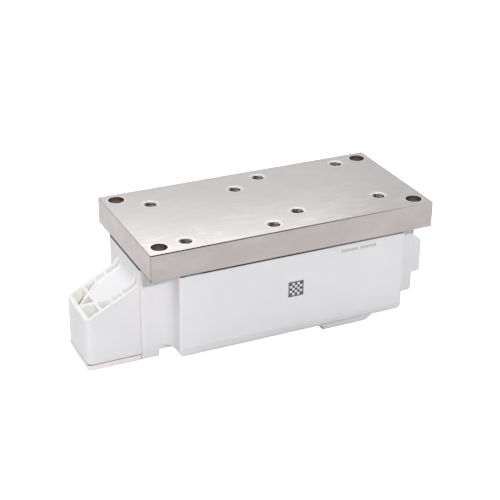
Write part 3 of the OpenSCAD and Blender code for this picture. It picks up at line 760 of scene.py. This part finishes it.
class MODULE_OT_threads(bpy.types.Operator):
    """First turns of thread in the tapped holes"""

    bl_idname = "module.threads"
    bl_label = "Tapped threads"

    def execute(self, context):
        sizes, _, _ = settings()
        # The first turns of thread darken towards the mouth as painted shade
        cut = bore_finish(
            "tapped_turns", (0.34, 0.325, 0.315), (0.54, 0.52, 0.51), rough=0.14, shade=0.3)
        turns = self.turns(sizes)
        for number, (x, y) in enumerate(screw_centres(), 1):
            thread = bpy.data.objects.new(f"tapped_thread_{number}", turns.data.copy())
            context.scene.collection.objects.link(thread)
            thread.data.transform(Matrix.Translation((x, y, 0.0)))
            paint(thread, cut)
            placed(thread, "plated_copper")
        bpy.data.objects.remove(turns)
        return {"FINISHED"}

    def turns(self, sizes):
        """Turns of a triangular thread about the Z axis, from the countersink down"""
        root = TAPPED_R + THREAD_SEAT
        crest = TAPPED_R - sizes.thread_height
        half = THREAD_HALF * sizes.thread_pitch
        middle = -SINK_DEPTH - half
        deselect()
        bpy.ops.mesh.primitive_circle_add(vertices=3, radius=1.0, fill_type="NGON")
        profile = bpy.context.object
        corners = ((root, middle - half), (root, middle + half), (crest, middle))
        for vertex, (r, z) in zip(profile.data.vertices, corners):
            vertex.co = (r, 0.0, z)
        apply_modifier(
            profile, "SCREW", axis="Z", angle=2.0 * math.pi, screw_offset=-sizes.thread_pitch,
            iterations=TURNS, steps=TURN_STEPS, render_steps=TURN_STEPS,
            use_normal_calculate=True)
        bpy.ops.object.mode_set(mode="EDIT")
        bpy.ops.mesh.select_all(action="SELECT")
        bpy.ops.mesh.remove_doubles(threshold=SAME_POINT)
        bpy.ops.mesh.normals_make_consistent(inside=False)
        bpy.ops.object.mode_set(mode="OBJECT")
        bpy.ops.object.shade_smooth_by_angle(angle=THREAD_SMOOTH)
        return profile


class MODULE_OT_print(bpy.types.Operator):
    """Plain printed fields on the front panel"""

    bl_idname = "module.print"
    bl_label = "Print"

    def execute(self, context):
        sizes, finish, _ = settings()
        black = mottled_finish(
            "black_ink", tone(finish.ink, 1.3), tone(finish.ink, 0.8), 900.0, 0.55)
        grey = mottled_finish(
            "grey_ink", (0.46, 0.45, 0.45), (0.36, 0.35, 0.35), 900.0, 0.55)
        self.joined("print_square", self.square(sizes), black)
        self.joined("print_line", self.ticks(sizes), grey)
        return {"FINISHED"}

    def square(self, sizes):
        """A framed square of plain checks"""
        middle = Vector((0.0, 0.0, SQUARE_Z))
        fields = [self.field(middle, SQUARE_SIDE, SQUARE_SIDE, sizes, frame_t=SQUARE_FRAME)]
        centre = CELLS // 2
        for row in range(CELLS):
            for column in range(CELLS):
                if (row + column) % 2 == 0:
                    shift = Vector(((column - centre) * CELL, 0.0, (row - centre) * CELL))
                    fields.append(self.field(middle + shift, CELL, CELL, sizes))
        return fields

    def ticks(self, sizes):
        """A row of plain ticks with a gap in its middle"""
        start = Vector((TICK_X, 0.0, TICK_Z))
        step = Vector((TICK_PITCH, 0.0, 0.0))
        return [
            self.field(start + n * step, *TICK_SIZE, sizes)
            for n in range(TICKS) if n != TICK_GAP
        ]

    def field(self, middle, width, height, sizes, frame_t=0.0):
        """A flat upright field on the panel, or only its frame"""
        deselect()
        bpy.ops.mesh.primitive_plane_add(
            size=1.0, location=(middle.x, PANEL_FRONT, middle.z), rotation=(math.pi / 2, 0.0, 0.0))
        piece = bpy.context.object
        piece.scale = (width, height, 1.0)
        bpy.ops.object.transform_apply(location=True, rotation=True, scale=True)
        bpy.ops.object.mode_set(mode="EDIT")
        bpy.ops.mesh.select_all(action="SELECT")
        if frame_t:
            bpy.ops.mesh.inset(thickness=frame_t)
            bpy.ops.mesh.delete(type="FACE")
            bpy.ops.mesh.select_all(action="SELECT")
        bpy.ops.mesh.extrude_region_move(
            TRANSFORM_OT_translate={"value": (0.0, -sizes.ink_height, 0.0)})
        bpy.ops.mesh.select_all(action="SELECT")
        bpy.ops.mesh.normals_make_consistent(inside=False)
        bpy.ops.object.mode_set(mode="OBJECT")
        return piece

    def joined(self, name, fields, ink):
        """Makes one printed piece of its fields"""
        deselect()
        for piece in fields:
            piece.select_set(True)
        bpy.context.view_layer.objects.active = fields[0]
        bpy.ops.object.join()
        fields[0].name = name
        paint(fields[0], ink)
        placed(fields[0], "ink")


class MODULE_OT_stage(bpy.types.Operator):
    """Floor, light and camera"""

    bl_idname = "module.stage"
    bl_label = "Stage"

    def execute(self, context):
        _, _, stage = settings()
        self.add_floor(stage)
        self.add_sky(context, stage)
        self.add_key(stage)
        self.add_panel("back_light", *BACK_PANEL, stage.back)
        self.add_panel("hot_light", *HOT_PANEL, stage.hot)
        top = self.add_panel("top_light", *TOP_PANEL, stage.top)
        top.visible_glossy = False
        self.add_room(stage)
        self.add_camera(context, stage)
        context.scene.view_settings.view_transform = "Standard"
        return {"FINISHED"}

    def add_floor(self, stage):
        """Pale floor with a painted shadow under the module, washed out in the picture"""
        floor_z = CAD_BOX[0][2]
        deselect()
        bpy.ops.mesh.primitive_plane_add(size=FLOOR_SIZE, location=(0.0, 0.0, floor_z))
        floor = bpy.context.object
        floor.name = "floor"
        bpy.ops.object.transform_apply(location=True)
        m = Finish("floor_white", Roughness=0.9)
        reach = m.node("ShaderNodeVectorMath", operation="LENGTH")
        m.link(m.scaled(SHADED_OVAL), reach.inputs[0])
        under = m.ramp(reach.outputs["Value"], *SHADED_REACH)
        m.colour(m.mix(under, FLOOR_PALE, FLOOR_SHADED))
        m.shader.inputs["Emission Color"].default_value = WHITE
        seen = m.node("ShaderNodeLightPath").outputs["Is Camera Ray"]
        m.link(m.math("MULTIPLY", seen, stage.glow), m.shader.inputs["Emission Strength"])
        paint(floor, m.material)

    def add_sky(self, context, stage):
        """Faint even light, washed out in the picture as the floor is"""
        world = bpy.data.worlds.new("studio")
        world.use_nodes = True
        tree = world.node_tree
        sky = tree.nodes["Background"]
        sky.inputs["Color"].default_value = WHITE
        seen = tree.nodes.new("ShaderNodeLightPath").outputs["Is Camera Ray"]
        wash = tree.nodes.new("ShaderNodeMath")
        wash.operation = "MULTIPLY_ADD"
        tree.links.new(seen, wash.inputs[0])
        wash.inputs[1].default_value = stage.glow
        wash.inputs[2].default_value = stage.sky
        tree.links.new(wash.outputs["Value"], sky.inputs["Strength"])
        context.scene.world = world

    def add_key(self, stage):
        """Light from the front that throws the plate's shadow on the housing"""
        bpy.ops.object.light_add(type="SUN", location=KEY_PLACE)
        key = bpy.context.object
        key.name = "key_light"
        key.rotation_euler = Vector(KEY_TOWARD).to_track_quat("Z", "Y").to_euler()
        key.data.energy = stage.key
        key.data.angle = KEY_SPREAD

    def add_panel(self, name, place, size, power):
        """A lit panel that faces the module"""
        bpy.ops.object.light_add(type="AREA", location=place)
        panel = bpy.context.object
        panel.name = name
        panel.rotation_euler = Vector(place).to_track_quat("Z", "Y").to_euler()
        panel.data.shape = "RECTANGLE"
        panel.data.size, panel.data.size_y = size
        panel.data.energy = power
        return panel

    def add_room(self, stage):
        """Pale walls and ceiling for the metal to mirror"""
        for name, place, (width, height), share in ROOM:
            power = stage.room * share * math.pi * width * height
            wall = self.add_panel(name, place, (width, height), power)
            wall.visible_diffuse = name == LIT_WALL

    def add_camera(self, context, stage):
        """Camera that sees the module as in the photograph"""
        bpy.ops.object.camera_add(location=CAMERA_PLACE)
        camera = bpy.context.object
        camera.name = "photo_camera"
        camera.rotation_euler = Euler(CAMERA_TURN, "XYZ")
        camera.data.lens = stage.lens
        camera.data.sensor_width = CAMERA_SENSOR
        camera.data.clip_start = 0.01
        camera.data.clip_end = 50.0
        context.scene.camera = camera


class MODULE_PT_sidebar(bpy.types.Panel):
    """Sizes, finishes and steps of the module"""

    bl_idname = "MODULE_PT_sidebar"
    bl_label = "Thyristor module"
    bl_space_type = "VIEW_3D"
    bl_region_type = "UI"
    bl_category = "Module"

    def draw(self, context):
        layout = self.layout
        for group in settings():
            box = layout.box()
            for name in group.bl_rna.properties.keys():
                if name not in ("rna_type", "name"):
                    box.prop(group, name)
        for step in STEPS:
            layout.operator(step.bl_idname)


STEPS = (
    MODULE_OT_stage,
    MODULE_OT_base_plate,
    MODULE_OT_housing,
    MODULE_OT_terminals,
    MODULE_OT_sealant,
    MODULE_OT_inner_pieces,
    MODULE_OT_threads,
    MODULE_OT_print,
)
GROUPS = (
    ("module_sizes", ModuleSizes),
    ("module_finish", ModuleFinish),
    ("module_stage", ModuleStage),
)


def register():
    for name, group in GROUPS:
        bpy.utils.register_class(group)
        setattr(bpy.types.Scene, name, bpy.props.PointerProperty(type=group))
    for step in STEPS:
        bpy.utils.register_class(step)
    bpy.utils.register_class(MODULE_PT_sidebar)


def unregister():
    bpy.utils.unregister_class(MODULE_PT_sidebar)
    for step in reversed(STEPS):
        bpy.utils.unregister_class(step)
    for name, group in reversed(GROUPS):
        delattr(bpy.types.Scene, name)
        bpy.utils.unregister_class(group)


def main():
    register()
    for step in STEPS:
        area, name = step.bl_idname.split(".")
        getattr(getattr(bpy.ops, area), name)()
    deselect()


if __name__ == "__main__":
    main()
